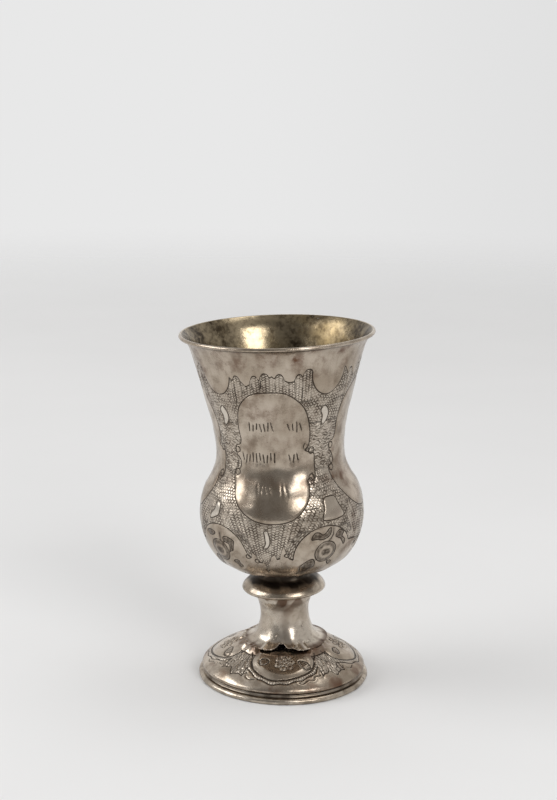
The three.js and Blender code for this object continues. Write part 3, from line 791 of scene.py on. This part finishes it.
# outlines in degrees off a panel's middle, and mm from the foot's axis
panel = [
    (-34.5, 16.5), (-34.5, 19.5), (-29, 22.7), (-24, 24.3), (-17, 25.7), (-9, 26.8), (0, 26.6), (10, 25.9),
    (21.8, 24.3), (28.6, 22.5), (33.5, 20), (34.5, 16.5),
]
footLobes = [
    [(-44, 21), (-43, 24), (-40, 25.3), (-37.2, 24.7), (-36.2, 25.9), (-33, 26.2), (-31, 25.4), (-30, 26.9),
     (-26, 27.6), (-22, 27.2)],
    [(42, 20.4), (40, 22.8), (37.5, 22.6), (36, 24.6), (32, 24.6), (30.5, 26.2), (26, 26.2), (24, 27.4),
     (19.5, 27.2), (15, 28.2), (12, 27.8)],
    [(-37, 18), (-38.5, 21), (-35, 23.6), (-31, 24.2)],
]
footLeaves = [
    [(16, 20), (18, 22.4), (21.5, 23.4), (26.5, 22.6), (24.5, 20.8), (20, 19.8)],
    [(-25, 20.2), (-22, 22), (-17, 21.4), (-15, 19.8), (-20, 19.2)],
]
# a ring of petals: size in mm, count, and distance in mm
rose = {"at": (1.5, 20.2), "rings": ((0.7, 1, 0.0), (0.85, 5, 1.35), (1.0, 7, 2.6))}


def footRelief(theta, radius):
    # raised panels and sunk rays between them, as in the solid
    off = np.mod(theta + 45, 90) - 45
    edge = 26.4 - 6.2 * np.minimum(1, np.abs(off) / 34) ** 1.8
    inside = 1 - smooth(radius, edge - 1.6, edge + 0.6)
    across = 1 - smooth(np.abs(off), 26, 38)
    rays = bump(np.abs(off), 45, 12) * bump(radius, 22, 4)
    return smooth(radius, 15.5, 18) * (0.45 * inside * across - 0.25 * rays)


def footOrnament(theta, radius, slope, run):
    # the same measures as on the bowl, with the distance from the axis in place of the height
    field, motif, cut = np.full(theta.shape, -4.0), np.full(theta.shape, 4.0), np.full(theta.shape, 4.0)
    fill, lift = np.zeros(theta.shape), np.zeros(theta.shape)
    stroke = theta / 2.8 + 0.35 * ripple(theta * 0.4, radius, 71, 7)
    bead = run / 3.6 + 0.3 * ripple(theta * 0.4, radius, 72, 5)

    measure = measuring(theta, radius, np.radians(1) * radius, slope)
    for turn in foot["panels"]:
        off = wrap(theta - turn)
        border = measure(panel, turn)
        beyond = radius > 18.5
        cut = np.minimum(cut, np.where(radius > 17.4, np.abs(border), 4.0))
        band = smooth(border, 0.1, 0.5) * (1 - smooth(border, 1.3, 1.7))
        lift += 0.12 * band * beyond * (np.abs(off) < 40)
        fringe = np.minimum(border - 0.35, 1.75 + 0.25 * np.sin(np.radians(off * 30)) - border)
        fringe = np.where(beyond & (np.abs(off) < 37), fringe, -4.0)
        stroke = np.where(fringe > -0.4, off * 0.45 / 0.95, stroke)
        bead = np.where(fringe > -0.4, 0.25, bead)
        wide = np.abs(np.abs(off) - 45)
        length = 25.9 + 1.1 * np.sin(np.radians(off * 17)) + 0.5 * np.sin(np.radians(off * 41))
        fan = np.minimum(np.minimum((11.5 - wide) * 0.4, radius - 18.4), length - radius)
        field = np.maximum(field, np.maximum(fringe, np.where(border > 1.9, fan, -4.0)))
        for lobe in footLobes:
            edge = measure(lobe, turn, False)
            cut = np.minimum(cut, np.abs(edge) + 0.07)
            lift += 0.1 * bump(edge, 0.6, 0.5)
        u, v = rose["at"]
        for size, count, distance in rose["rings"]:
            for k in range(count):
                a = 2 * math.pi * (k + 0.3 * distance) / count
                at = (u + distance * math.sin(a) / 0.355, v + distance * math.cos(a))
                petal = measure(ellipse(*at, size / 0.355, size * 0.9, count=12), turn)
                cut = np.minimum(cut, np.abs(petal) + 0.09)
                lift = np.maximum(lift, 0.22 * smooth(-petal, -0.1, 0.6))
        for leaf in footLeaves:
            outline = measure(leaf, turn)
            motif = nearer(outline, motif)
            hatch = np.mod(run / 0.9 + off * 0.2, 1) < 0.5
            fill = np.maximum(fill, 0.65 * smooth(-outline, 0, 0.3) * hatch)
    return {"field": field, "motif": motif, "cut": cut, "stroke": stroke, "bead": bead,
            "beadDepth": np.full(theta.shape, 0.3), "fill": fill}, lift


def makeFoot(metal):
    # the dome's profile goes round the axis; relief, solder and lines are added to its height
    curve = smoothCurve(foot["profile"], 16)
    shares = sharesByDensity([(0, 0.3), (0.2, 0.8), (0.3, 1), (1, 1)], foot["outerRows"])
    outer, along = alongCurve(curve, shares)
    inner, innerAlong = alongCurve(curve, np.linspace(1, 0, foot["innerRows"]))
    inner = offset(inner, innerAlong, foot["wall"])
    theta = angles(foot["columns"])
    th, r = np.meshgrid(theta, outer[:, 0])
    wide, run = (np.repeat(v[:, None], len(theta), 1) for v in (
        np.minimum(1 / np.maximum(np.abs(along[:, 0]), 0.25), 3), shares * lengthOf(curve)[-1]))
    fields, lift = footOrnament(th, r, wide, run)
    held = 1 - torn(th)
    reach = 17.2 + 0.5 * ripple(th * 0.3, 0 * r, 81, 5) + 1.6 * bump(th, -50, 16) + 1.6 * bump(th, 48, 16)
    solder = smooth(r, 12.5, 14.5) * (1 - smooth(r, reach - 2.4, reach)) * held
    # grime round the soldered skirt, heaviest at the solder lumps, and painted shade under the torn stretch
    grimeAndCrackShade = smooth(r, 14, 15) * (1 - smooth(r, 16.5, 20 + ripple(th * 0.3, r, 85, 5)))
    grimeAndCrackShade = grimeAndCrackShade * (0.3 + 0.7 * np.maximum(bump(th, -50, 22), bump(th, 46, 20)) + 0.35 * torn(th))
    lines = toLines(fields)
    raised = footRelief(th, r) + lift - foot["lineDepth"] * bump(lines, 0, 0.4)
    raised += foot["solderHeight"] * solder * (0.92 + 0.14 * ripple(th * 0.3, r, 82, 3))
    raised += 0.05 * ripple(th * 0.45, r, 83, 10)
    raised *= 1 - smooth(r, 29.4, 30.1)
    height = np.vstack([outer[:, 1:] + raised, np.repeat(inner[:, 1:], len(theta), 1)])
    radius = np.vstack([r, np.repeat(inner[:, :1], len(theta), 1)])
    under = np.zeros((len(inner), len(theta)))
    attributes = {k: np.vstack([fields[k], under + v]) for k, v in (unmarked | {"fill": 0.1}).items()}
    rimDirt = 0.5 * smooth(r, 26.5, 28.5) * smooth(ripple(th * 0.4, r, 84, 9), -0.3, 1)
    # random dulling, cleared on the left side of the foot as a painted highlight
    dullingWithPaintedHighlight = 0.25 * smooth(ripple(th * 0.4, r, 86, 7), 0, 1.2) * (1 - 0.8 * bump(th, -60, 35))
    attributes["stainAndShade"] = np.vstack([np.clip(0.6 * grimeAndCrackShade + rimDirt + dullingWithPaintedHighlight, 0, 0.85), under + 0.45])
    place = turnedPlace(radius, height, theta[None, :], False)
    gridPiece("foot_dome", place, [metal], "foot", attributes)


footRim = {
    "profile": [
        (28.4, 0), (30.8, 0), (31.2, 0.25), (31.4, 0.9), (31.2, 1.5), (30.6, 1.95), (29.6, 2.15), (29.3, 2.5),
        (29.2, 3.03), (28.4, 3.03),
    ],
    "columns": 400,
    "rows": 80,
}


def makeFootRim():
    corners = np.array(footRim["profile"] + footRim["profile"][:1], float)
    rounded = np.vstack([corners[:1], smoothCurve(corners[1:8], 8), corners[8:]])
    profile, _ = alongCurve(rounded, np.linspace(0, 1, footRim["rows"], endpoint=False))
    theta = angles(footRim["columns"])
    th, z = np.meshgrid(theta, profile[:, 1])
    waved = smooth(z, 0.1, 0.5) * (profile[:, :1] > 29.5)
    radius = profile[:, :1] + 0.05 * ripple(th * 0.5, z, 91, 14) * waved
    # tarnish and painted shade in the recess under the dome's edge, and painted shade along the floor contact
    recessAndContactShade = 0.5 * smooth(z, 1.95, 2.3) + 0.4 * (1 - smooth(z, 0.1, 0.5))
    smut = 0.3 * smooth(ripple(th * 0.5, z, 92, 8), 0, 1)
    metal = plainSilver("base moulding silver", "#cbc0b1", "#a09281", "#3a2f27", 0.2, 0.12)
    place = turnedPlace(radius, z, theta[None, :], False)
    gridPiece("base_moulding", place, [metal], "foot_rim",
              {"stainAndShade": np.clip(recessAndContactShade * 0.9 + smut, 0, 0.92)})


studio = {
    "floorRadius": 2.5,
    "floorDrop": 0.00004,         # metres below the cup, so that the two surfaces don't coincide
    "floorFade": (0.6, 1.5),
    "floorColour": "#ededed",
    "floorFibre": "#e8e8e8",
    "backdropLeft": "#e8e8e8",
    "backdropRight": "#e1e1e1",
    "around": 0.58,               # radiance of the room to the sides and above, as reflections see it
    "frontWay": (-0.08, -0.95, 0.3),
    "frontLoss": -0.34,           # how much darker it is on the camera's side
    "backGain": 0.35,
    # azimuth and elevation in degrees, distance, width and height in metres, radiance
    "softboxes": {
        "left softbox": (-86, 30, 2.0, 1.50, 1.10, 3.4),
        "right softbox": (33, 30, 2.0, 0.95, 1.05, 4.9),
        "top softbox": (110, 70, 2.0, 0.80, 0.80, 2.0),
        "small lamp": (-50, 21, 2.0, 0.09, 0.09, 14.0),
    },
}


def makeFloor():
    turn = np.arange(96) * 2 * np.pi / 96
    radius = studio["floorRadius"]
    points = np.stack([radius * np.cos(turn), radius * np.sin(turn), 0 * turn - studio["floorDrop"]], 1)
    mesh = bpy.data.meshes.new("floor")
    mesh.from_pydata(points, [], [list(range(96))])
    floor = bpy.data.objects.new("floor", mesh)
    bpy.context.collection.objects.link(floor)
    material, tree, shader = startMaterial("pale studio paper", Roughness=0.85, Specular_IOR_Level=0.2)
    place = addNode(tree, "TexCoord", out="Object")
    fibre = addNode(tree, "TexNoise", {"Vector": place, "Scale": scaleOf(111), "Detail": 3.0})
    tone = addNode(tree, "Mix", [fibre, linear(studio["floorColour"]), linear(studio["floorFibre"])],
                   **inColour)
    tree.links.new(tone, shader.inputs["Base Color"])
    away = addNode(tree, "VectorMath", [place], out="Value", operation="LENGTH")
    gone = addNode(tree, "MapRange", [away, *studio["floorFade"]], **eased)
    mixed = addNode(tree, "MixShader", [gone, shader.outputs[0], addNode(tree, "BsdfTransparent")])
    tree.links.new(mixed, tree.nodes["Material Output"].inputs["Surface"])
    mesh.materials.append(material)


def makeWorld():
    # a pale backdrop for the camera, with painted light falling off from left to right; for reflections a
    # room that is darker towards the front
    world = bpy.data.worlds.new("studio")
    bpy.context.scene.world = world
    world.use_nodes = True
    tree = world.node_tree
    tree.nodes.clear()
    direction = addNode(tree, "TexCoord", out="Generated")
    front = addNode(tree, "VectorMath", [direction, studio["frontWay"]], out="Value", operation="DOT_PRODUCT")
    loss = addNode(tree, "MapRange", [front, 0.3, 0.85, 0.0, studio["frontLoss"]], **eased)
    gain = addNode(tree, "MapRange", [front, -0.2, -0.9, 0.0, studio["backGain"]], **eased)
    room = addNode(tree, "Math", [addNode(tree, "Math", [loss, gain]), studio["around"]])
    around = addNode(tree, "Background", [(1.0, 0.99, 0.98, 1.0), room])
    # painted light: the backdrop lighter to the left, darker to the right
    side = addNode(tree, "VectorMath", [direction, (1.0, 0.0, 0.0)], out="Value", operation="DOT_PRODUCT")
    side = addNode(tree, "MapRange", [side, -0.05, 0.2], **eased)
    tone = addNode(tree, "Mix", [side, linear(studio["backdropLeft"]), linear(studio["backdropRight"])],
                   **inColour)
    seen = addNode(tree, "Background", [tone, 1.0])
    mixed = addNode(tree, "MixShader", [addNode(tree, "LightPath", out="Is Camera Ray"), around, seen])
    tree.links.new(mixed, tree.nodes.new("ShaderNodeOutputWorld").inputs["Surface"])


def makeLights():
    for name, (azimuth, elevation, distance, width, height, radiance) in studio["softboxes"].items():
        a, e = math.radians(azimuth), math.radians(elevation)
        aim = Vector((footX * mm, 0, 0.08))
        away = Vector((math.sin(a) * math.cos(e), -math.cos(a) * math.cos(e), math.sin(e)))
        light = bpy.data.lights.new(name, "AREA")
        light.shape = "RECTANGLE"
        light.size, light.size_y = width, height
        light.energy = radiance * math.pi * width * height
        lamp = bpy.data.objects.new(name, light)
        lamp.location = aim + distance * away
        lamp.rotation_euler = (-away).to_track_quat("-Z", "Y").to_euler()
        lamp.visible_camera = False
        bpy.context.collection.objects.link(lamp)


view = {"pitch": 12.61, "yaw": -0.33, "roll": 0.85, "back": 0.560, "height": 0.2297, "lens": 71.57}


def makeCamera():
    # angles in degrees, places in metres, the lens in mm
    pitch, yaw, roll = (math.radians(view[key]) for key in ("pitch", "yaw", "roll"))
    forward = Vector((math.sin(yaw) * math.cos(pitch), math.cos(yaw) * math.cos(pitch), -math.sin(pitch)))
    data = bpy.data.cameras.new("camera")
    data.lens = view["lens"]
    data.sensor_width = 36.0
    data.clip_start, data.clip_end = 0.01, 50
    camera = bpy.data.objects.new("camera", data)
    camera.rotation_mode = "QUATERNION"
    camera.rotation_quaternion = forward.to_track_quat("-Z", "Y") @ Quaternion((0, 0, 1), roll)
    camera.location = (footX * mm, -view["back"], view["height"])
    bpy.context.collection.objects.link(camera)
    bpy.context.scene.camera = camera


bpy.context.scene.view_settings.view_transform = "Standard"
makeCamera()
makeFloor()
makeWorld()
makeLights()
print("stage ready")
makeBowl()
makeCollar()
makeStem()
makeFoot(bpy.data.materials["engraved sterling silver"])
makeFootRim()
